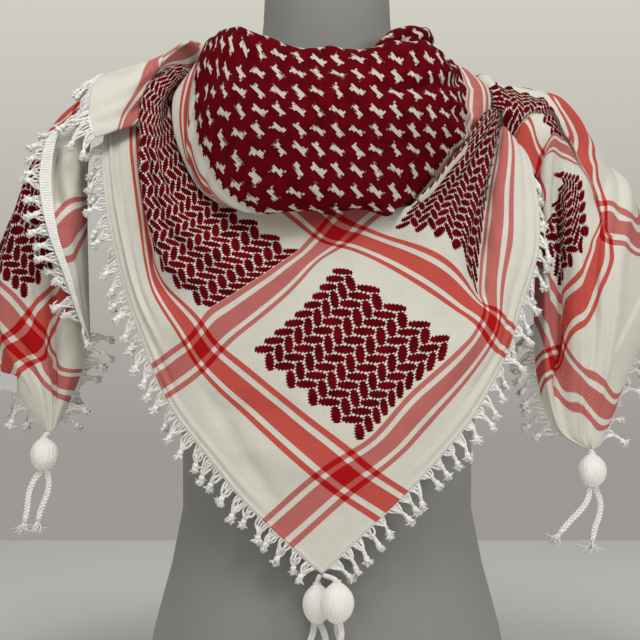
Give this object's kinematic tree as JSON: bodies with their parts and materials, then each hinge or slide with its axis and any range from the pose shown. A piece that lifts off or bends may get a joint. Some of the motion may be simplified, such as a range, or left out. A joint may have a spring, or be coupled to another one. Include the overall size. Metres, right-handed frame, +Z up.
{
  "type": "keffiyeh headscarf on dress form",
  "caption": "Red and white woven cotton keffiyeh with knotted fringe and tassel balls, wound round a grey limbless dress form.",
  "frame": {"origin": "centre of the dress form's flat base", "axes": "+Z up the form, the scarf's front faces -Y, +X to the viewer's right"},
  "size_m": [0.5727, 0.2739, 0.664],
  "materials": {
    "printed_cotton": "woven cotton in ivory white and dark red, matt",
    "white_thread": "plied cotton thread",
    "grey_jersey": "fine grey jersey over foam",
    "label_tape": "plain woven tape"
  },
  "bodies": {
    "root": {"dress_form": "grey_jersey", "front_panel": "printed_cotton", "left_margin": "printed_cotton", "left_fold": "printed_cotton", "right_fold": "printed_cotton", "cowl": "printed_cotton", "neck_roll": "printed_cotton", "back_wrap_over": "printed_cotton", "back_wrap_under": "printed_cotton", "left_shoulder": "printed_cotton", "right_shoulder": "printed_cotton", "left_tail": "printed_cotton", "left_tail_flap": "printed_cotton", "right_tail": "printed_cotton", "fringe_front_left": "white_thread", "fringe_front_right": "white_thread", "fringe_left_shoulder": "white_thread", "fringe_left_tail_flap": "white_thread", "fringe_left_tail_inner": "white_thread", "fringe_left_tail_outer": "white_thread", "fringe_right_tail_inner": "white_thread", "fringe_right_tail_outer": "white_thread", "tassel_front_a": "white_thread", "tassel_front_b": "white_thread", "tassel_left_tail": "white_thread", "tassel_right_tail": "white_thread", "label": "label_tape"}
  },
  "joints": []
}
